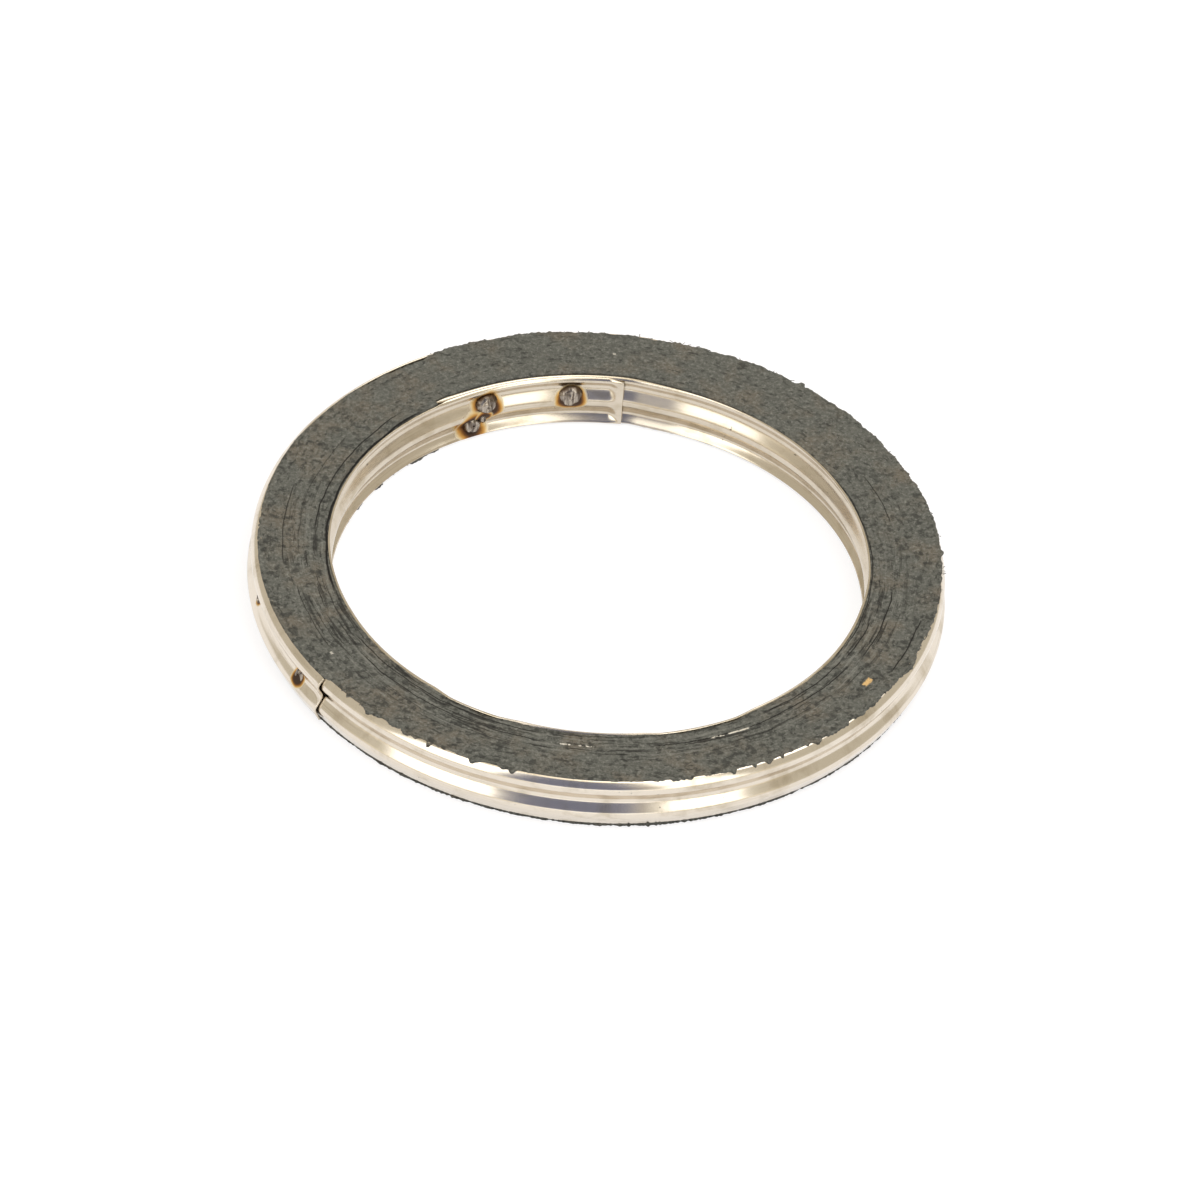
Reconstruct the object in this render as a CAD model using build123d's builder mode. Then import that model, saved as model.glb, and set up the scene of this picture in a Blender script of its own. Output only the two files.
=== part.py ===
"""Spiral wound exhaust ring gasket, lying flat.

Two strips are wound together on a round mandrel.  The hoop strip is thin stainless
steel, rolled to a W: seen from outside it has two crests with a groove between them.
The filler strip is soft graphite and lies between the hoop's turns, a little proud of
the hoop's edges above and below.  The hoop starts and ends with bare turns, spot
welded to the turn beneath them.

Origin: centre of the ring on the face that it rests on, +Z along the ring's axis.
Units: millimetres and degrees.
"""
import os
from dataclasses import dataclass
from math import acos, cos, degrees, radians, sin

from build123d import *

# Hoop strip
bore_diameter = 48.0
strip_thickness = 0.2
strip_height = 4.7
crest_rise = 0.7

# Filler strip
filler_thickness = 1.41
filler_proud = 0.25
filler_turns = 4
filler_tip_angle = 130.0
filler_tail_angle = 138.0

# The winding, with angles about +Z from +X
bare_turn_gap = 0.05
step_bend_radius = 7.5
strip_start_angle = 88.0
filler_start_angle = 144.0
strip_end_angle = 220.5

# Spot welds, with faceted pads
inner_weld_angles = (99.2, 118.0)
inner_weld_height = 3.3
inner_weld_width = 2.4
outer_weld_angles = (194.2, 213.8)
outer_weld_height = 2.6
outer_weld_width = 2.2
outer_pad_rise = 0.45
weld_sides = 6

# Sizes that follow
bore_radius = bore_diameter / 2
pitch = strip_thickness + filler_thickness
total_height = strip_height + 2 * filler_proud
lap_rise = strip_thickness + bare_turn_gap
lapped_radius = bore_radius + lap_rise
filler_rise = pitch - lap_rise
last_filler_offset = (filler_turns - 1) * pitch
last_turn_radius = bore_radius + filler_turns * pitch
last_lap_radius = last_turn_radius + lap_rise
pad_radius = last_lap_radius + strip_thickness + outer_pad_rise


@dataclass(frozen=True)
class Run:
    """A stretch of the first turn's path, which the later turns offset.

    It is a bend about a vertical axis at `centre`, or a straight run of `length` that
    sets out square to the radius at `start`.
    """

    centre: Vector
    radius: float
    start: float
    bend: float = 0.0
    length: float = 0.0


def spoke(angle: float) -> Vector:
    """Give the horizontal unit vector at an angle."""
    return Vector(cos(radians(angle)), sin(radians(angle)), 0)


def ring_run(radius: float, start: float, end: float) -> Run:
    """Give a run that keeps its radius about the ring's own axis."""
    return Run(Vector(0, 0, 0), radius, start, bend=end - start)


def step_span(radius: float, rise: float) -> float:
    """Give the angle that a step outwards takes, from one radius to the next."""
    return degrees(acos(1 - rise / (radius + rise - step_bend_radius)))


def step_out(radius: float, rise: float, end: float) -> list[Run]:
    """Give the straight run off a turn, and the bend that brings it onto a wider one."""
    span = step_span(radius, rise)
    bend_offset = radius + rise - step_bend_radius
    leaving = end - span
    return [
        Run(Vector(0, 0, 0), radius, leaving, length=bend_offset * sin(radians(span))),
        Run(spoke(end) * bend_offset, step_bend_radius, leaving, bend=span),
    ]


# One turn is the full circle, the step over the strip's own start, the lapped stretch
# over the bare start, and the step over the filler's start.
lap_step_end = strip_start_angle + 360
lap_step_angle = lap_step_end - step_span(bore_radius, lap_rise)
filler_step_angle = filler_start_angle - step_span(lapped_radius, filler_rise)
circle = ring_run(bore_radius, filler_start_angle, lap_step_angle)
lap_step = step_out(bore_radius, lap_rise, lap_step_end)
lapped = ring_run(lapped_radius, strip_start_angle, filler_step_angle)
filler_step = step_out(lapped_radius, filler_rise, filler_start_angle)

# The strip's bare start lies on the mandrel, and its bare end on the last full turn.
bare_start = ring_run(bore_radius, strip_start_angle, filler_start_angle)
bare_end = ring_run(lapped_radius, filler_step_angle, strip_end_angle)


def wall(radius: float, pressed: bool) -> list[tuple[float, float]]:
    """Give one side of the hoop strip from bottom edge to top edge, W or plain."""
    rises = (0, crest_rise, 0, crest_rise, 0) if pressed else (0, 0)
    step = strip_height / (len(rises) - 1)
    return [(radius + rise, filler_proud + i * step) for i, rise in enumerate(rises)]


def hoop_outline(offset: float, pressed: bool) -> list[tuple[float, float]]:
    """Give the hoop strip's section, with its bore side at an offset from the path."""
    return wall(offset, pressed) + wall(offset + strip_thickness, pressed)[::-1]


def filler_outline(offset: float, pressed: bool) -> list[tuple[float, float]]:
    """Give the filler's section, from the hoop's turn at an offset to the next one.

    Against a pressed turn it bridges the groove between the two crests.
    """
    inner = offset + strip_thickness
    outer = offset + pitch
    bottom, lower_crest, _, upper_crest, top = wall(inner, True)
    moulded = [bottom, lower_crest, upper_crest, top] if pressed else []
    return [(inner, 0)] + moulded + [(inner, total_height), (outer, total_height), (outer, 0)]


def lay(run: Run, outline: list[tuple[float, float]], mode: Mode = Mode.ADD) -> None:
    """Lay a strip of this section along a run of the part that is being built."""
    across = Plane(run.centre, x_dir=spoke(run.start), z_dir=spoke(run.start - 90))
    with BuildSketch(across) as section:
        with BuildLine():
            Polyline([(run.radius + x, y) for x, y in outline], close=True)
        make_face()
    if run.bend:
        revolve(section.sketch, Axis(run.centre, (0, 0, 1)), run.bend, mode=mode)
    else:
        extrude(section.sketch, -run.length, mode=mode)


def nugget(angle: float, height: float, width: float, radii: tuple[float, float]) -> None:
    """Add a plug of weld metal that lies along the ring's radius between two radii."""
    start_radius, end_radius = radii
    origin = spoke(angle) * start_radius + Vector(0, 0, height)
    across = Plane(origin, x_dir=spoke(angle + 90), z_dir=spoke(angle))
    with BuildSketch(across) as spot:
        RegularPolygon(width / 2, weld_sides)
    extrude(spot.sketch, end_radius - start_radius)


def trim_round(side: list[tuple[float, float]], face_radius: float) -> None:
    """Keep what lies between one side of a turn and a plain round face."""
    bottom, top = filler_proud, filler_proud + strip_height
    with BuildSketch(Plane.XZ) as section:
        with BuildLine():
            Polyline([(face_radius, bottom), *side, (face_radius, top)], close=True)
        make_face()
    revolve(section.sketch, Axis.Z, mode=Mode.INTERSECT)


# At the bore, weld metal fills the W flush with its ridge and joins the lapped turn.
with BuildPart() as bore_weld_metal:
    for angle in inner_weld_angles:
        through = (bore_radius - crest_rise, lapped_radius + crest_rise)
        nugget(angle, inner_weld_height, inner_weld_width, through)
    trim_round(wall(lapped_radius + strip_thickness / 2, True), bore_radius)

# Outside, it fills the groove and joins the bare end to the turn beneath.
with BuildPart() as outer_weld_metal:
    for angle in outer_weld_angles:
        nugget(angle, outer_weld_height, outer_weld_width, (last_turn_radius, pad_radius))
    trim_round(wall(last_turn_radius + strip_thickness / 2, True), pad_radius)

# The hoop's W is pressed on the turns that show, at the bore and outside.  The turns
# that the filler hides between them are plain bands.
with BuildPart() as hoop_strip:
    lay(bare_start, hoop_outline(0, True))
    for turn in range(filler_turns + 1):
        outline = hoop_outline(turn * pitch, turn in (0, filler_turns))
        onward = filler_step if turn < filler_turns else [bare_end]
        for run in [circle, *lap_step, lapped, *onward]:
            lay(run, outline)
    add(bore_weld_metal.part)
    add(outer_weld_metal.part)

# The filler's start is squeezed to a tip between the bare start and the first step.
with BuildPart() as filler_tip:
    top, back = total_height, -filler_rise
    for run in filler_step:
        lay(run, [(back, 0), (0, 0), *wall(0, True), (0, top), (back, top)])
    tip_run = ring_run(bore_radius, filler_tip_angle, filler_start_angle)
    lay(tip_run, filler_outline(0, True), Mode.INTERSECT)

# Its end is squeezed to a tail between the last step and the bare end.
with BuildPart() as filler_tail:
    for run in filler_step:
        lay(run, filler_outline(last_filler_offset, False))
    tail_run = ring_run(lapped_radius, filler_step_angle, filler_tail_angle)
    lay(tail_run, filler_outline(last_filler_offset, False), Mode.INTERSECT)

# The filler fills the room between the turns, from its tip to its tail.
with BuildPart() as filler_strip:
    for turn in range(filler_turns):
        outline = filler_outline(turn * pitch, turn == 0)
        onward = filler_step if turn < filler_turns - 1 else []
        for run in [circle, *lap_step, lapped, *onward]:
            lay(run, outline)
    add(filler_tip.part)
    add(filler_tail.part)

os.makedirs("parts", exist_ok=True)
hoop_strip.part.label = "hoop_strip"
export_step(hoop_strip.part, "parts/hoop_strip.step")
filler_strip.part.label = "filler_strip"
export_step(filler_strip.part, "parts/filler_strip.step")
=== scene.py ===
"""Dress the spiral wound ring gasket and light it in a plain white studio.

The hoop is a sheet laid along the winding's own path, then given its thickness.  The
filler is a ring mesh with torn edges and a felted face, and Geometry Nodes scatter loose
fibres along its rim.  The spot welds are lumps of weld metal, with heat tint on the
steel about them.

Lengths are millimetres and angles are degrees until a mesh is written, in metres.
"""
from __future__ import annotations

import logging
import math
from dataclasses import dataclass
from enum import Enum

import bmesh
import bpy
import numpy as np
from mathutils import Matrix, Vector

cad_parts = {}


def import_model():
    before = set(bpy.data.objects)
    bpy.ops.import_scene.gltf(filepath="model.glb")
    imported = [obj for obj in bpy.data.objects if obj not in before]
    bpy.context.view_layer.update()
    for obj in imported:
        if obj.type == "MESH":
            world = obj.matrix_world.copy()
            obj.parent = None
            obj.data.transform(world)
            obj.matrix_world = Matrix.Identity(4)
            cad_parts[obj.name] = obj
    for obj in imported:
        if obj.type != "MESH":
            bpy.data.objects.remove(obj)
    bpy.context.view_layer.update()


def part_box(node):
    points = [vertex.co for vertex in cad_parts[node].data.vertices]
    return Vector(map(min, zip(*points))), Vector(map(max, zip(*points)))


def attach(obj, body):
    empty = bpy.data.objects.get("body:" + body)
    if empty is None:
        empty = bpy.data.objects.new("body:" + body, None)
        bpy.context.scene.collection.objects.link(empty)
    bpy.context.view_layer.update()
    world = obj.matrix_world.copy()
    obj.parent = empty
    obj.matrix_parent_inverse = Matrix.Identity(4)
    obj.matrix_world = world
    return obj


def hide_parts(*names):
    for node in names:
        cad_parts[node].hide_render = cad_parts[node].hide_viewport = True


LOG = logging.getLogger("gasket")
MM = 0.001
FULL_TURN = 360.0
HALF_TURN = 180.0

Tone = tuple[float, float, float]
Point = tuple[float, float, float]
Span = tuple[float, float]
Knots = tuple[tuple[float, float], ...]


class Slot(Enum):
    """The record's material slots."""

    STEEL = "stainless_strip"
    GRAPHITE = "graphite_filler"


# ----------------------------------------------------------------------- node trees


class Formula:
    """A number in a node tree, which arithmetic extends with Math nodes."""

    def __init__(self, graph: Graph, socket: bpy.types.NodeSocket) -> None:
        """Wrap an output socket that gives a number."""
        self.graph = graph
        self.socket = socket

    def _join(self, operation: str, *terms: Formula | float) -> Formula:
        """Add one Math node.

        Args:
            operation: The node's operation.
            terms: The node's inputs, in order.

        Returns:
            The node's value.
        """
        node = self.graph.add("ShaderNodeMath", {"operation": operation})
        for socket, term in zip(node.inputs, terms):
            self.graph.feed(socket, term)
        return Formula(self.graph, node.outputs[0])

    def __add__(self, other: Formula | float) -> Formula:
        """Add a number."""
        return self._join("ADD", self, other)

    def __sub__(self, other: Formula | float) -> Formula:
        """Take a number away."""
        return self._join("SUBTRACT", self, other)

    def __rsub__(self, other: float) -> Formula:
        """Take this from a number."""
        return self._join("SUBTRACT", other, self)

    def __mul__(self, other: Formula | float) -> Formula:
        """Multiply by a number."""
        return self._join("MULTIPLY", self, other)

    def __truediv__(self, other: Formula | float) -> Formula:
        """Divide by a number."""
        return self._join("DIVIDE", self, other)

    __radd__ = __add__
    __rmul__ = __mul__

    def call(self, operation: str, *others: Formula | float) -> Formula:
        """Apply a Math node's operation to this and other numbers."""
        return self._join(operation, self, *others)

    def rise(self, low: Formula | float, high: Formula | float) -> Formula:
        """Give a smooth step.

        Args:
            low: The value at which the step leaves 0.
            high: The value at which it reaches 1.

        Returns:
            The step.
        """
        node = self.graph.add("ShaderNodeMapRange", {"interpolation_type": "SMOOTHSTEP"})
        for socket, term in zip(node.inputs, (self, low, high)):
            self.graph.feed(socket, term)
        return Formula(self.graph, node.outputs[0])

    def window(self, low: float, high: float, soft: float) -> Formula:
        """Give 1 between two values and 0 outside them, over edges of twice `soft`."""
        return self.rise(low - soft, low + soft) * (1.0 - self.rise(high - soft, high + soft))

    def away_from(self, angle: Formula | float) -> Formula:
        """Give how far this angle lies from another, the short way round."""
        return (self - angle).call("WRAP", HALF_TURN, -HALF_TURN).call("ABSOLUTE")


class Graph:
    """Short calls that build one node tree."""

    def __init__(self, tree: bpy.types.NodeTree) -> None:
        """Wrap a tree.

        Args:
            tree: The tree to build in.
        """
        self.tree = tree
        self.source: bpy.types.Node | None = None
        self.sink: bpy.types.Node | None = None

    @classmethod
    def group(cls, name: str, kind: str, takes: dict[str, str], gives: dict[str, str]) -> Graph:
        """Start a node group with named sockets.

        Args:
            name: The group's name.
            kind: ShaderNodeTree or GeometryNodeTree.
            takes: Each input's name and its socket kind, such as Float.
            gives: Each output's name and its socket kind.

        Returns:
            The group's graph, with `source` and `sink` as its two end nodes.
        """
        graph = cls(bpy.data.node_groups.new(name, kind))
        for sockets, way in ((takes, "INPUT"), (gives, "OUTPUT")):
            for label, socket in sockets.items():
                graph.tree.interface.new_socket(
                    name=label, in_out=way, socket_type=f"NodeSocket{socket}"
                )
        graph.source = graph.tree.nodes.new("NodeGroupInput")
        graph.sink = graph.tree.nodes.new("NodeGroupOutput")
        return graph

    def add(self, kind: str, settings: dict | None = None, **fed: object) -> bpy.types.Node:
        """Add a node.

        Args:
            kind: The node's type.
            settings: Properties to set on the node.
            fed: What goes into its inputs, by name with _ for a space.

        Returns:
            The node.
        """
        node = self.tree.nodes.new(kind)
        for key, value in (settings or {}).items():
            setattr(node, key, value)
        for key, value in fed.items():
            self.feed(node.inputs[key.replace("_", " ")], value)
        return node

    def feed(self, socket: bpy.types.NodeSocket, value: object) -> None:
        """Link a socket to a node's output, or set its value.

        Args:
            socket: The input socket.
            value: A formula, an output socket, or a plain value.
        """
        if isinstance(value, Formula):
            value = value.socket
        if isinstance(value, bpy.types.NodeSocket):
            self.tree.links.new(value, socket)
        elif isinstance(value, tuple) and socket.type == "RGBA" and len(value) == 3:
            socket.default_value = (*value, 1.0)
        else:
            socket.default_value = value

    def give(self, *values: object) -> None:
        """Feed a group's outputs, in order."""
        for socket, value in zip(self.sink.inputs, values):
            self.feed(socket, value)

    def number(self, socket: bpy.types.NodeSocket) -> Formula:
        """Give a socket as a number for arithmetic."""
        return Formula(self, socket)

    def taken(self, *names: str) -> list[Formula]:
        """Give a group's inputs as numbers, by name."""
        return [self.number(self.source.outputs[name]) for name in names]

    def here(self) -> bpy.types.NodeSocket:
        """Give the place on the piece, in object coordinates."""
        return self.add("ShaderNodeTexCoord").outputs["Object"]

    def parts(self, vector: bpy.types.NodeSocket) -> list[Formula]:
        """Give a vector's three numbers."""
        split = self.add("ShaderNodeSeparateXYZ", Vector=vector)
        return [self.number(socket) for socket in split.outputs]

    def place(self, name: str, **fed: object) -> bpy.types.Node:
        """Place a shader group.

        Args:
            name: The group's name.
            fed: What goes into its inputs, by name.

        Returns:
            The group's node.
        """
        node = self.tree.nodes.new("ShaderNodeGroup")
        node.node_tree = bpy.data.node_groups[name]
        for key, value in fed.items():
            self.feed(node.inputs[key], value)
        return node

    def drawn(self, name: str, **fed: object) -> Formula:
        """Place a shader group and give its first output as a number."""
        return self.number(self.place(name, **fed).outputs[0])

    def mix(self, amount: object, below: object, above: object) -> bpy.types.NodeSocket:
        """Mix two colours.

        Args:
            amount: How much of the upper colour shows, from 0 to 1.
            below: The lower colour.
            above: The upper colour.

        Returns:
            The mixed colour.
        """
        node = self.add("ShaderNodeMix", {"data_type": "RGBA"})
        for index, value in ((0, amount), (6, below), (7, above)):
            self.feed(node.inputs[index], value)
        return node.outputs[2]

    def noise(self, vector: bpy.types.NodeSocket, scale: object, **fed: object) -> Formula:
        """Give fractal noise, about 0.5, at a scale per unit of the vector."""
        node = self.add("ShaderNodeTexNoise", Vector=vector, Scale=scale, **fed)
        return self.number(node.outputs[0])


class Surface(Graph):
    """A material's tree, which ends in one Principled shader."""

    def __init__(self, name: str) -> None:
        """Start a material.

        Args:
            name: The material's name.
        """
        self.material = bpy.data.materials.new(name)
        self.material.use_nodes = True
        super().__init__(self.material.node_tree)

    def finish(
        self, colour: object, rough: Formula, relief: dict[str, object], metallic: float,
        specular: float = 0.5,
    ) -> bpy.types.Material:
        """Feed the shader.

        Args:
            colour: The base colour.
            rough: The roughness.
            relief: What goes into the bump's inputs, by name.
            metallic: 1 for metal, 0 for what isn't.
            specular: How strongly it shines if it isn't metal.

        Returns:
            The material.
        """
        shader = self.tree.nodes["Principled BSDF"]
        for label, value in (
            ("Base Color", colour),
            ("Roughness", rough),
            ("Metallic", metallic),
            ("Specular IOR Level", specular),
            ("Normal", self.add("ShaderNodeBump", **relief).outputs[0]),
        ):
            self.feed(shader.inputs[label], value)
        return self.material


def most(masks: list[Formula]) -> Formula:
    """Give the largest of some masks.

    Args:
        masks: The masks.

    Returns:
        The largest one's value at each place.
    """
    largest = masks[0]
    for mask in masks[1:]:
        largest = largest.call("MAXIMUM", mask)
    return largest


# -------------------------------------------------------------------- shader groups


def build_ring_grain() -> None:
    """Make the group that stretches noise along the ring, across it and up it."""
    graph = Graph.group(
        "ring_grain",
        "ShaderNodeTree",
        dict.fromkeys(("Along", "Across", "Up", "Detail", "Warp"), "Float"),
        {"Grain": "Float"},
    )
    here = graph.here()
    x, y, z = graph.parts(here)
    radius = (x * x + y * y).call("SQRT")
    along, across, up, detail, warp = graph.taken("Along", "Across", "Up", "Detail", "Warp")
    wander = graph.noise(here, 420.0) * warp
    stretched = graph.add(
        "ShaderNodeCombineXYZ",
        X=x / radius * along,
        Y=y / radius * along,
        Z=radius * across + z * up + wander,
    )
    graph.give(graph.noise(stretched.outputs[0], 1.0, Detail=detail, Roughness=0.6))


def build_speckle() -> None:
    """Make the group that marks scattered spots of a size, with a share of the surface."""
    graph = Graph.group(
        "speckle",
        "ShaderNodeTree",
        {"Scale": "Float", "Share": "Float", "Soft": "Float"},
        {"Spots": "Float"},
    )
    scale, share, soft = graph.taken("Scale", "Share", "Soft")
    cloud = graph.noise(graph.here(), scale, Detail=3.0, Roughness=0.65, Distortion=0.4)
    edge = 1.0 - share
    graph.give(cloud.rise(edge - soft, edge + soft))


HEAT_BANDS = (
    (0.0, (0.07, 0.05, 0.04)),
    (0.55, (0.08, 0.05, 0.035)),
    (0.66, (0.22, 0.10, 0.035)),
    (0.76, (0.56, 0.30, 0.08)),
    (0.88, (0.74, 0.58, 0.30)),
    (1.0, (0.74, 0.68, 0.55)),
)


def build_heat_tint() -> None:
    """Make the group that lays the colours of heated steel round a spot weld."""
    graph = Graph.group(
        "heat_tint",
        "ShaderNodeTree",
        {"Metal": "Color", "Centre": "Vector", "Reach": "Float", "Seed": "Float"},
        {"Metal": "Color", "Heated": "Float"},
    )
    here = graph.here()
    away = graph.add("ShaderNodeVectorMath", {"operation": "DISTANCE"})
    graph.feed(away.inputs[0], here)
    graph.feed(away.inputs[1], graph.source.outputs["Centre"])
    reach, seed = graph.taken("Reach", "Seed")
    cloud = graph.add("ShaderNodeTexNoise", {"noise_dimensions": "4D"}, Vector=here, W=seed,
                      Scale=700.0, Detail=2.0)
    uneven = graph.number(cloud.outputs[0]) * 0.5 + 0.75
    level = graph.number(away.outputs["Value"]) / (reach * uneven)
    ramp = graph.add("ShaderNodeValToRGB", Fac=level)
    stops = ramp.color_ramp.elements
    for index, (at, tone) in enumerate(HEAT_BANDS):
        stop = stops[index] if index < 2 else stops.new(at)
        stop.position = at
        stop.color = (*tone, 1.0)
    colour = graph.mix(level.rise(0.8, 1.0), ramp.outputs[0], graph.source.outputs["Metal"])
    graph.give(colour, 1.0 - level.rise(0.86, 1.0))


def build_ring_place() -> None:
    """Make the group that gives the radius, in millimetres, and the angle, in degrees."""
    graph = Graph.group(
        "ring_place", "ShaderNodeTree", {"Wander": "Float"}, {"Radius": "Float", "Turn": "Float"}
    )
    here = graph.here()
    x, y, _ = graph.parts(here)
    (wander,) = graph.taken("Wander")
    shift = (graph.noise(here, 240.0, Detail=5.0) - 0.5) * wander
    radius = (x * x + y * y).call("SQRT") / MM + shift
    graph.give(radius, y.call("ARCTAN2", x) * math.degrees(1))


def build_ring_line() -> None:
    """Make the group that marks a line along the ring, from one angle to another."""
    graph = Graph.group(
        "ring_line",
        "ShaderNodeTree",
        dict.fromkeys(("Here", "Turn", "Radius", "Middle", "Half", "Width"), "Float"),
        {"Line": "Float"},
    )
    here, turn, radius = graph.taken("Here", "Turn", "Radius")
    middle, half, width = graph.taken("Middle", "Half", "Width")
    across = (here - radius).call("ABSOLUTE") / width
    along = turn.away_from(middle) / half
    graph.give((1.0 - across.rise(0.3, 0.6)) * (1.0 - along.rise(0.85, 1.05)))


# ------------------------------------------------------------------------- finishes


@dataclass(frozen=True)
class Fade:
    """How a finish makes a mask of a noise or a place: full at one level, none at another."""

    none: float
    full: float
    strength: float = 1.0

    def mask(self, level: Formula) -> Formula:
        """Give the mask.

        Args:
            level: The noise or the place.

        Returns:
            A value from 0 to the strength.
        """
        if self.full > self.none:
            return level.rise(self.none, self.full) * self.strength
        return (1.0 - level.rise(self.full, self.none)) * self.strength


@dataclass(frozen=True)
class Grain:
    """Noise that is stretched along the ring, across it and up it."""

    along: float
    across: float
    up: float
    detail: float
    warp: float = 0.0

    def level(self, graph: Graph) -> Formula:
        """Give the noise's level, about 0.5."""
        return graph.drawn("ring_grain", Along=self.along, Across=self.across, Up=self.up,
                           Detail=self.detail, Warp=self.warp)


@dataclass(frozen=True)
class Speckle:
    """Scattered spots that take a share of the surface."""

    scale: float
    share: float
    soft: float

    def spots(self, graph: Graph) -> Formula:
        """Give 1 in the spots and 0 between them."""
        return graph.drawn("speckle", Scale=self.scale, Share=self.share, Soft=self.soft)


@dataclass(frozen=True)
class Heat:
    """One heated place on the steel."""

    angle: float
    radius: float
    height: float
    reach: float

    def centre(self) -> Point:
        """Give the middle of the heated place, in metres."""
        turn, across = math.radians(self.angle), self.radius * MM
        return across * math.cos(turn), across * math.sin(turn), self.height * MM


@dataclass(frozen=True)
class RolledSteel:
    """Bright rolled stainless strip, with rolling marks, smudges, heat tint and painted shade
    inside the bore.
    """

    tone: Tone = (0.745, 0.68, 0.585)
    # the tone of smudges and rolling marks, also used for the painted shade inside the bore
    stain_and_shade: Tone = (0.46, 0.39, 0.28)
    pit_tone: Tone = (0.10, 0.09, 0.075)
    marks: Grain = Grain(2.5, 9000.0, 9000.0, 3.0)
    smudges: Grain = Grain(9.0, 500.0, 500.0, 4.0, 0.6)
    pits: Speckle = Speckle(1500.0, 0.27, 0.012)
    bore_side: Fade = Fade(28.0, 26.0)
    # how strongly painted shade darkens the bore side
    bore_painted_shade: float = 0.36
    smudge_stain: Fade = Fade(0.46, 0.75, 0.7)
    mark_stain: Fade = Fade(0.56, 0.70, 0.35)
    roughness: float = 0.10
    smudge_roughness: float = 0.10
    mark_roughness: float = 0.04
    bore_roughness: float = 0.03
    heat_roughness: float = 0.36
    mark_depth: float = 0.0000012

    def material(self, heats: list[Heat]) -> bpy.types.Material:
        """Build the material.

        Args:
            heats: The heated places.

        Returns:
            The material.
        """
        graph = Surface("rolled_steel")
        marks, smudges = self.marks.level(graph), self.smudges.level(graph)
        inside = self.bore_side.mask(graph.drawn("ring_place"))
        colour = self.tone
        for amount, tone in (
            # painted shade: the bore side is darkened towards the stain tone
            (inside * self.bore_painted_shade, self.stain_and_shade),
            (self.smudge_stain.mask(smudges), self.stain_and_shade),
            (self.mark_stain.mask(marks), self.stain_and_shade),
            (self.pits.spots(graph), self.pit_tone),
        ):
            colour = graph.mix(amount, colour, tone)
        heated = []
        for seed, heat in enumerate(heats):
            tint = graph.place("heat_tint", Metal=colour, Centre=heat.centre(),
                               Reach=heat.reach * MM, Seed=float(seed))
            colour = tint.outputs[0]
            heated.append(graph.number(tint.outputs[1]))
        rough = (smudges * self.smudge_roughness + marks * self.mark_roughness
                 + inside * self.bore_roughness + self.roughness
                 + most(heated) * self.heat_roughness)
        relief = {"Strength": 1.0, "Distance": self.mark_depth, "Height": marks}
        return graph.finish(colour, rough, relief, metallic=1.0)


@dataclass(frozen=True)
class WeldMetal:
    """Weld metal that has run and cooled: bare and streaked, with dark scale at its rim and painted
    shade in a crater's hollow.
    """

    # dark scale at the rim, and the painted shade in a crater's hollow
    scale_and_shade_tone: Tone = (0.11, 0.075, 0.05)
    bare_tone: Tone = (0.44, 0.39, 0.33)
    streak_tone: Tone = (0.13, 0.105, 0.085)
    streaks: Grain = Grain(90.0, 200.0, 500.0, 3.0)
    craters: float = 2200.0
    bare: Fade = Fade(0.42, 0.62)
    scale: Fade = Fade(0.76, 1.02)
    scale_wander: float = 0.6
    roughness: float = 0.26
    scale_roughness: float = 0.3
    crater_depth: float = 0.00005

    def material(self) -> bpy.types.Material:
        """Build the material, which reads how near a point is to its weld's rim.

        Returns:
            The material.
        """
        graph = Surface("weld_metal")
        attribute = graph.add("ShaderNodeAttribute", {"attribute_name": "rim"})
        rim = graph.number(attribute.outputs["Fac"])
        craters = graph.noise(graph.here(), self.craters, Detail=3.0)
        # dark scale at the rim and painted shade in a crater's hollow
        scale_and_shade = self.scale.mask(rim + (craters - 0.5) * self.scale_wander)
        bare = self.bare.mask(self.streaks.level(graph))
        colour = graph.mix(bare, self.streak_tone, self.bare_tone)
        colour = graph.mix(scale_and_shade, colour, self.scale_and_shade_tone)
        rough = scale_and_shade * self.scale_roughness + self.roughness
        relief = {"Strength": 0.6, "Distance": self.crater_depth, "Height": craters}
        return graph.finish(colour, rough, relief, metallic=1.0)


@dataclass(frozen=True)
class RingLine:
    """A line in the filler's face, such as where two of its layers have parted, painted black as
    shade, or a steel edge painted pale as a glint.
    """

    radius: float
    start: float
    end: float
    width: float = 0.12
    strength: float = 0.9

    def mask(self, graph: Graph, radius: Formula, turn: Formula) -> Formula:
        """Give how much of the line there is at a place.

        Args:
            graph: The material's graph.
            radius: The place's radius.
            turn: The place's angle.

        Returns:
            The line's mask.
        """
        line = graph.drawn("ring_line", Here=radius, Turn=turn, Radius=self.radius,
                           Middle=(self.start + self.end) / 2, Half=(self.end - self.start) / 2,
                           Width=self.width)
        return line * self.strength


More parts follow.
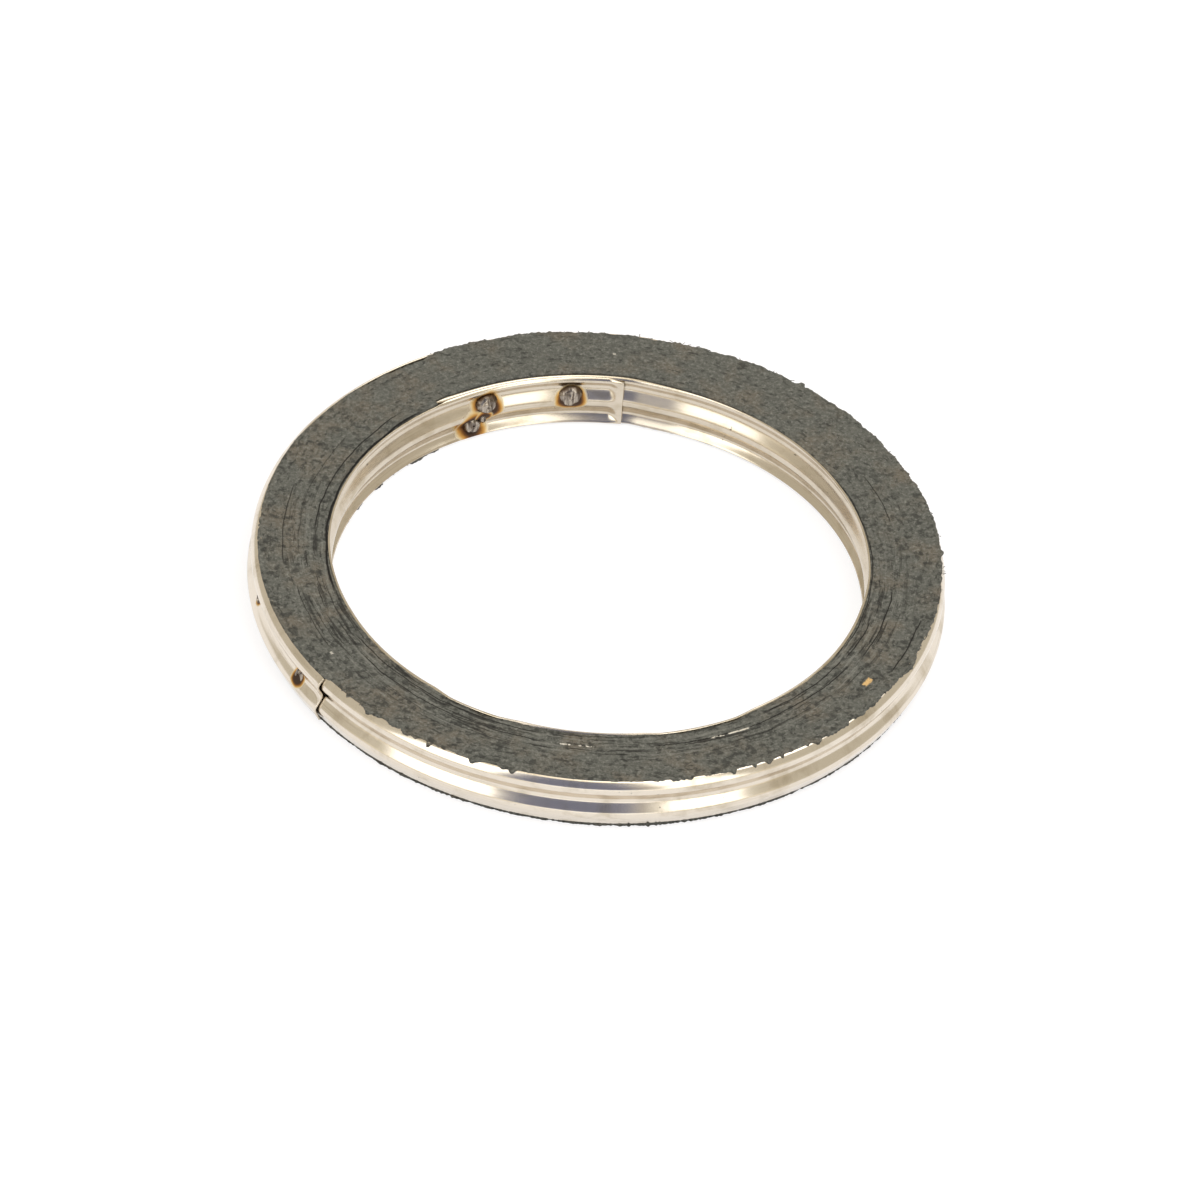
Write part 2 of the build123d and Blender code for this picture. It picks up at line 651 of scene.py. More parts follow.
@dataclass(frozen=True)
class GraphiteFelt:
    """Soft graphite filler: matt, dark grey with a green cast, felted and stained.

    In front, its layers stand apart near the bore, with painted shade between them.  Behind, its
    clots are fainter.  Its cracks are painted black as shade, and steel edges that show through it
    are painted pale as glints.
    """

    # cracks where layers have parted, painted black as shade
    crack_shades: tuple[RingLine, ...]
    # steel edges that show through the filler, painted pale as glints
    painted_glints: tuple[RingLine, ...]
    gilt: RingLine
    tone: Tone = (0.112, 0.114, 0.101)
    dark: Tone = (0.030, 0.031, 0.028)
    pale: Tone = (0.258, 0.256, 0.230)
    earth: Tone = (0.165, 0.135, 0.100)
    # the black of painted shade, in cracks and between parted layers
    shade_black: Tone = (0.010, 0.009, 0.008)
    # the pale tone of the painted glints
    steel_glint_tone: Tone = (0.85, 0.80, 0.70)
    gold: Tone = (0.74, 0.48, 0.20)
    strokes: Grain = Grain(30.0, 2300.0, 1800.0, 4.0, 1.2)
    layers: Grain = Grain(5.0, 3300.0, 1500.0, 2.0, 0.6)
    flecks: Speckle = Speckle(2300.0, 0.31, 0.03)
    pocks: Speckle = Speckle(1150.0, 0.31, 0.03)
    earth_patches: Fade = Fade(0.44, 0.70, 0.55)
    pale_felt: Fade = Fade(0.47, 0.74, 0.8)
    dark_felt: Fade = Fade(0.48, 0.26, 0.6)
    dark_clots: Fade = Fade(0.50, 0.36)
    dark_strokes: Fade = Fade(0.45, 0.33, 0.7)
    # painted shade between parted layers
    parted_layer_shade: Fade = Fade(0.45, 0.37)
    pale_layers: Fade = Fade(0.56, 0.66, 0.4)
    layers_radius: Fade = Fade(29.2, 26.6)
    layers_middle: float = -92.0
    layers_reach: Fade = Fade(120.0, 75.0)
    back_middle: float = 90.0
    back_reach: Fade = Fade(35.0, 75.0)
    pale_flecks: float = 0.4
    dark_pocks: float = 0.55
    line_wander: float = 0.55
    felt_sheen: float = 0.3
    specular: float = 0.3
    felt_depth: float = 0.00006

    def material(self) -> bpy.types.Material:
        """Build the material.

        Returns:
            The material.
        """
        graph = Surface("graphite_felt")
        here = graph.here()
        strokes, layers = self.strokes.level(graph), self.layers.level(graph)
        felt = graph.noise(here, 2900.0, Detail=4.0, Roughness=0.75)
        clots = graph.noise(here, 1300.0, Detail=3.0, Roughness=0.65)
        patches = graph.noise(here, 260.0, Detail=3.0, Roughness=0.6)
        where = graph.place("ring_place", Wander=self.line_wander)
        radius, turn = (graph.number(found) for found in where.outputs[:2])
        layered = self.layers_radius.mask(radius) * self.layers_reach.mask(
            turn.away_from(self.layers_middle)
        )
        clotted = self.back_reach.mask(turn.away_from(self.back_middle)) * 0.4 + 0.3
        # split marks the cracks, painted black as shade; bare marks the painted glints; gilt marks
        # the gold fleck
        split, bare, gilt = (
            most([line.mask(graph, radius, turn) for line in lines])
            for lines in (self.crack_shades, self.painted_glints, (self.gilt,))
        )
        colour = self.tone
        for amount, tone in (
            (self.earth_patches.mask(patches), self.earth),
            (self.pale_felt.mask(felt), self.pale),
            (self.dark_felt.mask(felt), self.dark),
            (self.dark_clots.mask(clots) * clotted, self.dark),
            (self.dark_strokes.mask(strokes), self.dark),
            # painted shade: parted layers are darkened to black
            (self.parted_layer_shade.mask(layers) * (layered * 0.6 + 0.12), self.shade_black),
            (self.pale_layers.mask(layers) * layered, self.pale),
            (self.flecks.spots(graph) * self.pale_flecks, self.pale),
            (self.pocks.spots(graph) * self.dark_pocks, self.dark),
            # painted shade: cracks are darkened to black
            (split * (felt.rise(0.22, 0.42) * 0.3 + 0.7), self.shade_black),
            # painted glints: where steel edges show through, a pale matt tone stands in for their
            # shine
            (bare * clots.rise(0.42, 0.52), self.steel_glint_tone),
            (gilt * felt.rise(0.38, 0.46), self.gold),
        ):
            colour = graph.mix(amount, colour, tone)
        relief = {"Strength": 0.9, "Distance": self.felt_depth,
                  "Height": felt + strokes * 0.6 + clots * 0.8 - split}
        return graph.finish(colour, 1.0 - felt * self.felt_sheen, relief, 0.0, self.specular)


# --------------------------------------------------------------------------- meshes


def new_object(name: str, data: bpy.types.ID) -> bpy.types.Object:
    """Link an object for a mesh, a lamp or a camera.

    Args:
        name: The object's name.
        data: What it shows.

    Returns:
        The object.
    """
    made = bpy.data.objects.new(name, data)
    bpy.context.scene.collection.objects.link(made)
    return made


def grid_mesh(name: str, points: np.ndarray, closed: tuple[bool, bool]) -> bpy.types.Mesh:
    """Make a mesh of four-sided faces from a grid of points.

    Args:
        name: The mesh's name.
        points: Rows by columns by three coordinates, in millimetres.
        closed: Whether the rows and the columns join up end to end.

    Returns:
        The mesh, in metres, smooth shaded.
    """
    rows, columns = points.shape[:2]
    index = np.arange(rows * columns).reshape(rows, columns)
    if closed[0]:
        index = np.vstack([index, index[:1]])
    if closed[1]:
        index = np.hstack([index, index[:, :1]])
    faces = np.stack([index[:-1, :-1], index[1:, :-1], index[1:, 1:], index[:-1, 1:]], -1)
    mesh = bpy.data.meshes.new(name)
    mesh.from_pydata((points.reshape(-1, 3) * MM).tolist(), [], faces.reshape(-1, 4).tolist())
    mesh.shade_smooth()
    return mesh


def polar(radius: np.ndarray, angle: np.ndarray, height: np.ndarray | float) -> np.ndarray:
    """Give points from radius, angle in degrees and height."""
    turn = np.radians(angle)
    return np.stack(np.broadcast_arrays(radius * np.cos(turn), radius * np.sin(turn), height), -1)


def mark_points(mesh: bpy.types.Mesh, name: str, values: np.ndarray) -> None:
    """Give a mesh's points a named attribute."""
    attribute = mesh.attributes.new(name, "FLOAT", "POINT")
    attribute.data.foreach_set("value", values.ravel().astype(np.float32))


def close_holes(mesh: bpy.types.Mesh) -> None:
    """Fill a mesh's open ends and point its faces outwards.

    Args:
        mesh: The mesh to change.
    """
    work = bmesh.new()
    work.from_mesh(mesh)
    bmesh.ops.holes_fill(work, edges=[edge for edge in work.edges if edge.is_boundary])
    bmesh.ops.recalc_face_normals(work, faces=work.faces)
    for face in work.faces:
        face.smooth = True
    work.to_mesh(mesh)
    work.free()


def bake(obj: bpy.types.Object) -> bpy.types.Object:
    """Turn an object's evaluated modifiers into a plain mesh of its own.

    Args:
        obj: The object to change.

    Returns:
        The same object, with no modifiers left.
    """
    bpy.context.view_layer.update()
    shape = obj.evaluated_get(bpy.context.evaluated_depsgraph_get())
    mesh = bpy.data.meshes.new_from_object(shape)
    mesh.name = obj.name
    obj.modifiers.clear()
    obj.data = mesh
    return obj


def set_inputs(modifier: bpy.types.NodesModifier, values: dict[str, object]) -> None:
    """Set a Geometry Nodes modifier's inputs.

    Args:
        modifier: The modifier.
        values: What each input takes, by its socket's name.
    """
    for item in modifier.node_group.interface.items_tree:
        if item.in_out == "INPUT" and item.name in values:
            modifier[item.identifier] = values[item.name]


def smooth_noise(
    rng: np.random.Generator, shape: tuple[int, int], waves: tuple[float, float]
) -> np.ndarray:
    """Make noise that repeats over a grid.

    Args:
        rng: The random source.
        shape: The grid's rows and columns.
        waves: About how many bumps there are along the rows and the columns.

    Returns:
        The grid of values, with a mean of 0 and a spread of 1.
    """
    spectrum = np.fft.fft2(rng.standard_normal(shape))
    down, along = (
        (np.abs(np.fft.fftfreq(count) * count) / bumps) ** 2 for count, bumps in zip(shape, waves)
    )
    values = np.fft.ifft2(spectrum * np.exp(-(down[:, None] + along[None, :]))).real
    return (values - values.mean()) / values.std()


def ring_noise(rng: np.random.Generator, count: int, waves: float) -> np.ndarray:
    """Make noise that repeats round the ring, with about so many bumps."""
    return smooth_noise(rng, (count, 1), (waves, 1.0))[:, 0]


def ring_grains(rng: np.random.Generator, count: int, grains: Knots) -> np.ndarray:
    """Add up noises round the ring, given as how many bumps each has and how high they are."""
    return sum(ring_noise(rng, count, waves) * height for waves, height in grains)


def between(angle: np.ndarray, start: float, end: float, soft: float = 1.5) -> np.ndarray:
    """Give 1 from one angle round to another and 0 elsewhere.

    Args:
        angle: The angles at which to give it.
        start: Where the stretch starts.
        end: Where it ends.
        soft: How wide its two edges are.

    Returns:
        The values.
    """
    middle = (start + end) / 2
    away = np.abs((angle - middle + HALF_TURN) % FULL_TURN - HALF_TURN)
    return np.clip(((end - start) / 2 - away) / soft + 0.5, 0.0, 1.0)


def bell(distance: np.ndarray, width: float) -> np.ndarray:
    """Give a bell curve that is 1 at no distance."""
    return np.exp(-((distance / width) ** 2))


def round_ring(angle: np.ndarray, knots: Knots) -> np.ndarray:
    """Give a value that changes evenly from knot to knot, an angle and a value each."""
    at, value = (np.array(column) for column in zip(*knots))
    return np.interp(angle % FULL_TURN, at, value, period=FULL_TURN)


# -------------------------------------------------------------------------- winding


@dataclass(frozen=True)
class Winding:
    """The path on which the strips are wound, seen along the ring's axis.

    Every turn is an offset of the first one: a circle, a step over the strip's own
    start, a lapped stretch, and a step over the filler's start.
    """

    bore_radius: float = 24.0
    strip_thickness: float = 0.2
    bare_turn_gap: float = 0.05
    filler_thickness: float = 1.41
    filler_turns: int = 4
    bend_radius: float = 7.5
    strip_start: float = 88.0
    filler_start: float = 144.0
    strip_end: float = 220.5

    @property
    def pitch(self) -> float:
        """Give what one turn with filler adds to the radius."""
        return self.strip_thickness + self.filler_thickness

    @property
    def lap_rise(self) -> float:
        """Give what a bare turn adds to the radius."""
        return self.strip_thickness + self.bare_turn_gap

    @property
    def last_turn(self) -> float:
        """Give the radius of the last turn's path before it laps."""
        return self.bore_radius + self.filler_turns * self.pitch

    def _span(self, radius: float, rise: float) -> float:
        """Give the angle, in radians, that a step from a radius takes."""
        return math.acos(1 - rise / (radius + rise - self.bend_radius))

    def _step(
        self, angle: np.ndarray, radius: float, rise: float, end: float, offset: float
    ) -> np.ndarray:
        """Give the radius on a step: a straight run, then a bend.

        Args:
            angle: The angles at which to work it out.
            radius: The radius before the step.
            rise: What the step adds.
            end: The angle at which the bend ends.
            offset: How far outside the path the wanted line lies.

        Returns:
            The radii.
        """
        reach = radius + rise - self.bend_radius
        span = self._span(radius, rise)
        bend = self.bend_radius + offset
        after = np.radians(angle - end)
        straight = (radius + offset) / np.cos(after + span)
        room = np.maximum(bend**2 - (reach * np.sin(after)) ** 2, 0.0)
        curved = reach * np.cos(after) + np.sqrt(room)
        turn = math.atan2(bend * math.sin(span), reach + bend * math.cos(span))
        return np.where(after < -turn, straight, curved)

    def radius(self, angle: np.ndarray, offset: float, last: bool = False) -> np.ndarray:
        """Give the radius of a line that runs along one turn.

        Args:
            angle: Angles from the strip's start to the filler's start, a turn further on.
            offset: How far outside the first turn's bore side the line lies.
            last: Whether the turn goes on bare, with no step over the filler.

        Returns:
            The radii.
        """
        bore, lapped = self.bore_radius, self.bore_radius + self.lap_rise
        result = np.full_like(angle, bore + offset)
        lap_end = self.strip_start + FULL_TURN
        lap_start = lap_end - math.degrees(self._span(bore, self.lap_rise))
        step = self._step(angle, bore, self.lap_rise, lap_end, offset)
        result = np.where(angle > lap_start, step, result)
        result = np.where(angle > lap_end, lapped + offset, result)
        if last:
            return result
        rise = self.pitch - self.lap_rise
        step_end = self.filler_start + FULL_TURN
        step = self._step(angle, lapped, rise, step_end, offset)
        return np.where(angle > step_end - math.degrees(self._span(lapped, rise)), step, result)


# ----------------------------------------------------------------------- hoop strip


@dataclass(frozen=True)
class Section:
    """The strip's section from bottom edge to top edge, as pairs of rise and height."""

    knots: Knots
    rounding: float = 0.22
    samples: int = 601

    def rows(self, count: int) -> np.ndarray:
        """Round the section's corners, and space points evenly along it.

        Args:
            count: How many points to give.

        Returns:
            A rise and a height for each point.
        """
        knots = np.array(self.knots)
        reach = np.concatenate([[0.0], np.cumsum(np.hypot(*np.diff(knots, axis=0).T))])
        fine = np.linspace(0, reach[-1], self.samples)
        line = np.stack([np.interp(fine, reach, side) for side in knots.T], 1)
        half = round(2.5 * self.rounding / fine[1])
        weight = np.exp(-0.5 * (np.arange(-half, half + 1) * fine[1] / self.rounding) ** 2)
        before = 2 * line[0] - line[half:0:-1]
        after = 2 * line[-1] - line[-2 : -half - 2 : -1]
        padded = np.vstack([before, line, after])
        smooth = [np.convolve(side, weight / weight.sum(), "valid") for side in padded.T]
        wanted = np.linspace(0, self.samples - 1, count).round().astype(int)
        return np.stack(smooth, 1)[wanted]


@dataclass(frozen=True)
class HoopStrip:
    """The stainless strip, laid along the winding.

    The W is pressed on the turns that show, at the bore and outside.  At the bore its
    upper edge is flared outwards as a lip.
    """

    winding: Winding
    bore: Section
    lip: Section
    outside: Section
    plain: Section
    lip_knots: Knots = (
        (0, 0.22), (40, 0.30), (58, 0.48), (73, 0.65), (84, 0.95), (127, 1.0), (131, 0.50),
        (182, 0.42), (192, 0.25), (206, 0.05), (236, 0.0), (240, 0.32), (251, 0.32),
        (256, 0.08), (282, 0.08), (286, 0.32), (303, 0.32), (308, 0.0), (350, 0.02),
    )
    edge_break: float = 0.03
    break_angle: float = 60.0
    rows: int = 29
    shown_step: float = 0.9
    hidden_step: float = 6.0
    end_step: float = 0.1
    start_reach: float = 4.0
    end_reach: float = 3.0
    pressing_reach: float = 3.4
    least_pressing: float = 0.2
    flare_reach: float = 2.2
    end_flare: float = 0.16

    @staticmethod
    def _spaced(start: float, end: float, step: float, whole: bool) -> np.ndarray:
        """Give angles from start to end, with or without the last one."""
        return np.linspace(start, end, round((end - start) / step), endpoint=whole)

    def lip_share(self, angle: np.ndarray) -> np.ndarray:
        """Give how far the bore's upper edge is flared, from 0 to 1, round the ring."""
        return round_ring(angle, self.lip_knots)

    def stations(self, turn: int) -> np.ndarray:
        """Give the angles of one turn's stations, which lie closer at the strip's ends.

        Args:
            turn: The turn, counted from 0 at the bore.

        Returns:
            The angles.
        """
        wound = self.winding
        first, last = turn == 0, turn == wound.filler_turns
        start = wound.strip_start if first else wound.filler_start
        end = (wound.strip_end if last else wound.filler_start) + FULL_TURN
        step = self.shown_step if first or last else self.hidden_step
        angle = self._spaced(start, end, step, last)
        if first:
            close_end = start + self.start_reach
            close = self._spaced(start, close_end, self.end_step, False)
            angle = np.concatenate([close, angle[angle > close_end]])
        if last:
            close_start = end - self.end_reach
            close = self._spaced(close_start, end, self.end_step, True)
            angle = np.concatenate([angle[angle < close_start], close])
        return angle

    def bore_sections(self, angle: np.ndarray) -> np.ndarray:
        """Give the section at the bore, flared round the ring and pressed flat at its start.

        Args:
            angle: The stations' angles.

        Returns:
            A section for each station.
        """
        bore, lip = self.bore.rows(self.rows), self.lip.rows(self.rows)
        sections = bore + self.lip_share(angle)[:, None, None] * (lip - bore)
        ease = np.clip((angle - self.winding.strip_start) / self.pressing_reach, 0, 1)
        ease = ease * ease * (3 - 2 * ease)
        pressed = ease * (1 - self.least_pressing) + self.least_pressing
        sections[..., 0] = sections[..., 0] * pressed[:, None]
        return sections

    def outer_section(self) -> np.ndarray:
        """Give the inner side of the outermost turn, whose outer side is the named section.

        Returns:
            The section, moved in by the strip's thickness.
        """
        outside = self.outside.rows(self.rows)
        along = np.gradient(outside, axis=0)
        across = np.stack([along[:, 1], -along[:, 0]], 1) / np.hypot(*along.T)[:, None]
        return outside + (np.array([1.0, 0.0]) - across) * self.winding.strip_thickness

    def turn_points(self, turn: int) -> np.ndarray:
        """Lay one turn of the strip.

        Args:
            turn: The turn, counted from 0 at the bore.

        Returns:
            Its points, station by station.
        """
        wound = self.winding
        last = turn == wound.filler_turns
        angle = self.stations(turn)
        radius = wound.radius(angle, turn * wound.pitch, last)
        if turn == 0:
            sections = self.bore_sections(angle)
        elif last:
            sections = self.outer_section()[None]
            flare = np.clip((angle - angle[-1] + self.flare_reach) / self.flare_reach, 0, 1)
            radius = radius + self.end_flare * flare**2
        else:
            sections = self.plain.rows(self.rows)[None]
        return polar(radius[:, None] + sections[..., 0], angle[:, None], sections[..., 1])

    def build(self, finish: bpy.types.Material) -> bpy.types.Object:
        """Lay the strip, give it its thickness and break its sheared edges.

        Args:
            finish: The strip's material.

        Returns:
            The strip's object.
        """
        turns = [self.turn_points(turn) for turn in range(self.winding.filler_turns + 1)]
        mesh = grid_mesh("hoop_winding", np.concatenate(turns), (False, False))
        mesh.materials.append(finish)
        strip = new_object("hoop_winding", mesh)
        wall = strip.modifiers.new("wall", "SOLIDIFY")
        wall.thickness = self.winding.strip_thickness * MM
        wall.offset = 1.0
        wall.use_even_offset = True
        corners = strip.modifiers.new("corners", "BEVEL")
        corners.width = self.edge_break * MM
        corners.segments = 1
        corners.limit_method = "ANGLE"
        corners.angle_limit = math.radians(self.break_angle)
        return bake(strip)


def pressed_strip(winding: Winding, bottom: float, top: float, lip_rise: float) -> HoopStrip:
    """Set out the hoop strip's sections.

    Args:
        winding: The strip's path.
        bottom: The height of the strip's lower edge.
        top: The height of its upper edge.
        lip_rise: How far the lip is flared where it is flared most.

    Returns:
        The strip, ready to build.
    """
    inner: Knots = ((0.0, bottom), (0.78, 0.9), (-0.08, 2.5), (0.82, 4.0))
    outer: Knots = ((0.05, 0.27), (0.80, 1.8), (-0.08, 3.1), (0.60, 4.24), (0.34, 4.84),
                    (-0.12, 5.20))
    return HoopStrip(
        winding,
        bore=Section((*inner, (0.02, 5.16)), 0.27),
        lip=Section((*inner, (0.26, 4.84), (lip_rise, 5.08)), 0.27),
        outside=Section(outer, 0.25),
        plain=Section(((0.0, bottom), (0.0, top))),
    )


# ----------------------------------------------------------------------- spot welds


@dataclass(frozen=True)
class SpotWeld:
    """One spot weld: a lump of weld metal that faces the bore or outwards.

    The lump is a low dome, or a crater with a raised rim.
    """

    name: str
    angle: float
    height: float
    width: float
    tall: float
    radius: float
    seed: int
    halo: float = 0.5
    outward: bool = False
    heat_depth: float = 0.2
    stand: float = 0.18
    tuck: float = 0.4
    depth: float = 0.7
    wobble: float = 0.07
    lump: float = 0.05
    crater_rim: float = 0.7
    crater_rim_width: float = 0.2
    hollow: float = 1.2
    hollow_width: float = 0.4
    # how far the painted shade spreads from a crater's middle
    hollow_shade_width: float = 0.45
    spokes: int = 40
    rings: int = 12

    def heat(self) -> Heat:
        """Give the heated place round the weld."""
        away = self.heat_depth if self.outward else -self.heat_depth
        return Heat(self.angle, self.radius + away, self.height, self.width / 2 + self.halo)

    def profile(self, share: np.ndarray) -> np.ndarray:
        """Give how the lump stands from its middle to its rim: a dome, or outside a crater.

        Args:
            share: How far out, from 0 at the middle to 1 at the rim.

        Returns:
            How far it stands, as a share of its full stand.
        """
        if self.outward:
            rim = bell(share - self.crater_rim, self.crater_rim_width)
            return rim - self.hollow * bell(share, self.hollow_width)
        return 1.0 - share**2

    def build(self, finish: bpy.types.Material) -> bpy.types.Object:
        """Make the lump, closed at the back inside the strip.

        Args:
            finish: The weld metal.

        Returns:
            The weld's object.
        """
        rng = np.random.default_rng(self.seed)
        turn = np.linspace(0, 2 * math.pi, self.spokes, endpoint=False)
        share = np.linspace(0.02, 1.0, self.rings)
        outline = 1.0 + self.wobble * ring_noise(rng, self.spokes, 4.0)
        lumps = smooth_noise(rng, (self.spokes, self.rings), (4.0, 3.0)) * self.lump
        rise = self.profile(share) * self.stand + lumps * (1 - share**2) - self.tuck * share**5
        reach = share * outline[:, None]
        back = np.array([[-0.8 * self.depth, -self.depth]])
        rise = np.hstack([rise, np.repeat(back, self.spokes, 0)])
        reach = np.hstack([reach, reach[:, -1:] * 0.98, reach[:, -1:] * 0.02])
        radius = self.radius + (rise if self.outward else -rise)
        across = self.width / 2 * reach * np.cos(turn)[:, None]
        height = self.height + self.tall / 2 * reach * np.sin(turn)[:, None]
        points = polar(radius, self.angle + np.degrees(across / self.radius), height)
        mesh = grid_mesh(self.name, points, (True, False))
        marks = np.ones(radius.shape)
        # painted shade: an outward weld's hollow is marked as rim, so it takes the dark scale tone
        marks[:, : self.rings] = np.maximum(share, bell(share, self.hollow_shade_width) * self.outward)
        mark_points(mesh, "rim", marks)
        close_holes(mesh)
        mesh.materials.append(finish)
        return new_object(self.name, mesh)


def spot_welds(winding: Winding) -> list[SpotWeld]:
    """Set out the welds: domes at the bore, one of which has run, and craters outside.

    Args:
        winding: The path of the strip that they fuse.

    Returns:
        The welds, ready to build.
    """
    bore = winding.bore_radius
    bead, run = bore + 0.1, bore + 0.12
    groove = winding.last_turn + winding.lap_rise + winding.strip_thickness + 0.2
    return [
        SpotWeld("bore_weld_first", 99.2, 2.92, 2.3, 2.25, bead, 11),
        SpotWeld("bore_weld_second", 118.0, 3.2, 2.0, 2.3, bead, 12, halo=0.9),
        SpotWeld("bore_weld_drip", 121.3, 1.3, 1.7, 2.0, run, 13, halo=1.0),
        SpotWeld("bore_weld_spatter", 118.9, 1.9, 0.8, 1.2, run, 16, halo=0.7),
        SpotWeld("outer_weld_first", 213.8, 2.75, 1.4, 1.6, groove, 14, halo=0.4, outward=True),
        SpotWeld("outer_weld_second", 194.2, 3.0, 0.8, 1.0, groove, 15, halo=0.3, outward=True),
    ]


# --------------------------------------------------------------------- filler strip


def level_rows(*rows: tuple[np.ndarray, float]) -> tuple[np.ndarray, np.ndarray]:
    """Set out rows of points that each keep their height round the ring.

    Args:
        rows: Each row's radii and its height.

    Returns:
        The radii and the heights, with a column for each row.
    """
    sides, levels = zip(*rows)
    radii = np.stack(sides, 1)
    return radii, np.broadcast_to(np.array(levels), radii.shape)


@dataclass(frozen=True)
class FillerStrip:
    """The graphite filler, as the ring that its pressed turns make.

    Its faces stand a little proud of the steel.  Its edges are torn: they lap the steel
    behind and on the right, and are worn back from it in front.
    """

    winding: Winding
    bottom: float
    top: float
    strip_bottom: float
    strip_top: float
    lip_rise: float
    rim_knots: Knots = (
        (0, 30.86), (12, 30.96), (64, 30.88), (72, 30.74), (98, 30.74), (102, 30.9),
        (122, 30.9), (125, 30.5), (132, 30.5), (140, 30.68), (152, 30.7), (157, 30.88),
        (163, 30.82), (220, 30.84), (222, 30.56), (236, 30.52), (258, 30.5), (264, 30.48),
        (281, 30.48), (284, 30.56), (290, 30.56), (306, 30.6), (312, 30.63), (346, 30.68),
        (353, 30.76),
    )
    spikes: Knots = (
        (8.0, 0.25), (226.0, 0.35), (231.0, 0.3), (243.5, 0.7), (251.5, 0.45), (258.5, 0.4),
        (302.5, 0.35),
    )
    spike_width: float = 0.45
    wear: Knots = ((60, 0.03), (320, 0.025))
    wear_limits: Span = (-0.03, 0.3)
    bare_spans: Knots = ((238.0, 252.0), (284.0, 304.0))
    bare_width: float = 0.10
    tears: Knots = ((45, 0.045), (160, 0.045), (500, 0.03))
    tooth_size: float = 0.2
    front_span: Span = (221.0, 345.0)
    ragged_span: Span = (222.0, 262.0)
    ragged_size: float = 0.05
    held_span: Span = (140.0, 221.0)
    held_share: float = 0.8
    felt_relief: float = 0.016
    wave_relief: float = 0.022
    edge_fall: float = 0.06
    rim_swell: float = 0.09
    under_tears: Knots = ((90, 0.02), (600, 0.035))
    under_relief: float = 0.02
    tuft_size: float = 0.06
    tuft_span: Span = (276.0, 292.0)
    patch_size: float = 0.17
    patch_span: Span = (128.0, 166.0)
    least_rim: float = 30.46
    count: int = 1800
    face_rows: int = 28
    under_rows: int = 6
    seam: float = 0.02
    sink: float = 0.03
    overhang: float = 0.20
    crest_room: float = 0.95
    tip: float = 130.0
    seed: int = 7

    def stations(self) -> np.ndarray:
        """Give the angles of the stations round the ring."""
        return np.linspace(0, FULL_TURN, self.count, endpoint=False)

    def inner_edge(self, angle: np.ndarray) -> np.ndarray:
        """Give where the filler meets the steel at the bore, with no lip.

        Args:
            angle: Angles from 0 to 360.

        Returns:
            The radii.
        """
        wound = self.winding
        turned = np.where(angle < self.tip, angle + FULL_TURN, angle)
        return wound.radius(turned, wound.strip_thickness)

    def worn_edge(self, rng: np.random.Generator, angle: np.ndarray) -> np.ndarray:
        """Give how far the upper face's inner edge is worn back from the steel.

        Args:
            rng: The random source.
            angle: The stations' angles.

        Returns:
            The distances.
        """
        worn = ring_grains(rng, self.count, self.wear)
        bare = sum(between(angle, *span, 2.0) for span in self.bare_spans)
        return np.clip(worn + bare * (self.bare_width + worn), *self.wear_limits)

    def rim(self, rng: np.random.Generator, angle: np.ndarray) -> np.ndarray:
        """Give the torn outer edge of the upper face.

        Args:
            rng: The random source.
            angle: The stations' angles.

        Returns:
            The radii.
        """
        plain = round_ring(angle, self.rim_knots)
        grain = ring_grains(rng, self.count, self.tears)
        teeth = np.clip(ring_noise(rng, self.count, 260) - 1.5, 0, 2) * self.tooth_size
        front = between(angle, *self.front_span, 4.0) * self.ragged_size
        front = front + between(angle, *self.ragged_span, 3.0) * self.ragged_size
        ragged = ring_noise(rng, self.count, 130) * front
        spikes = sum(size * bell(angle - at, self.spike_width) for at, size in self.spikes)
        free = 1.0 - between(angle, *self.held_span, 4.0) * self.held_share
        torn = (grain + teeth) * free + ragged + spikes
        return np.maximum(plain + torn, np.minimum(plain - 0.05, self.least_rim))

    def face(
        self, rng: np.random.Generator, edge: np.ndarray, rim: np.ndarray
    ) -> tuple[np.ndarray, np.ndarray]:
        """Work out the felted upper face, which swells at its rim.

        Args:
            rng: The random source.
            edge: The radii of its inner edge.
            rim: The radii of its outer edge.

        Returns:
            The radii and the heights of its points.
        """
        across = np.linspace(0, 1, self.face_rows)
        for crowding in (-0.08, 0.16):
            across = across - crowding * np.sin(2 * np.pi * across) / np.pi
        radius = edge[:, None] + (rim - edge)[:, None] * across
        relief = (smooth_noise(rng, radius.shape, (700.0, 16.0)) * self.felt_relief
                  + smooth_noise(rng, radius.shape, (60.0, 5.0)) * self.wave_relief)
        fall = self.edge_fall * bell(np.minimum(across, 1 - across), 0.01)
        swell = self.rim_swell * bell(1 - across, 0.10)
        return radius, self.top - self.sink + relief - fall + swell

    def underside(
        self, rng: np.random.Generator, angle: np.ndarray, inner: np.ndarray, outer: np.ndarray
    ) -> tuple[np.ndarray, np.ndarray]:
        """Work out the lower face, whose torn edges lap the steel.

        Args:
            rng: The random source.
            angle: The stations' angles.
            inner: The steel's radii at the bore.
            outer: The steel's radii outside.

        Returns:
            The radii and the heights of its points, from its outer edge inwards.
        """
        torn = ring_grains(rng, self.count, self.under_tears)
        tufts = np.clip(ring_noise(rng, self.count, 600), 0, 2) * self.tuft_size
        rim = outer + self.overhang + torn + tufts * between(angle, *self.tuft_span, 4.0)
        patches = np.clip(ring_noise(rng, self.count, 60) + 0.8, 0, 1.6) * self.patch_size
        edge = inner + self.seam - (patches + tufts) * between(angle, *self.patch_span, 4.0)
        across = np.linspace(1, 0, self.under_rows)
        radius = edge[:, None] + (rim - edge)[:, None] * across
        relief = smooth_noise(rng, radius.shape, (300.0, 8.0)) * self.under_relief
        return radius, np.clip(self.bottom + self.sink + relief, self.bottom, None)

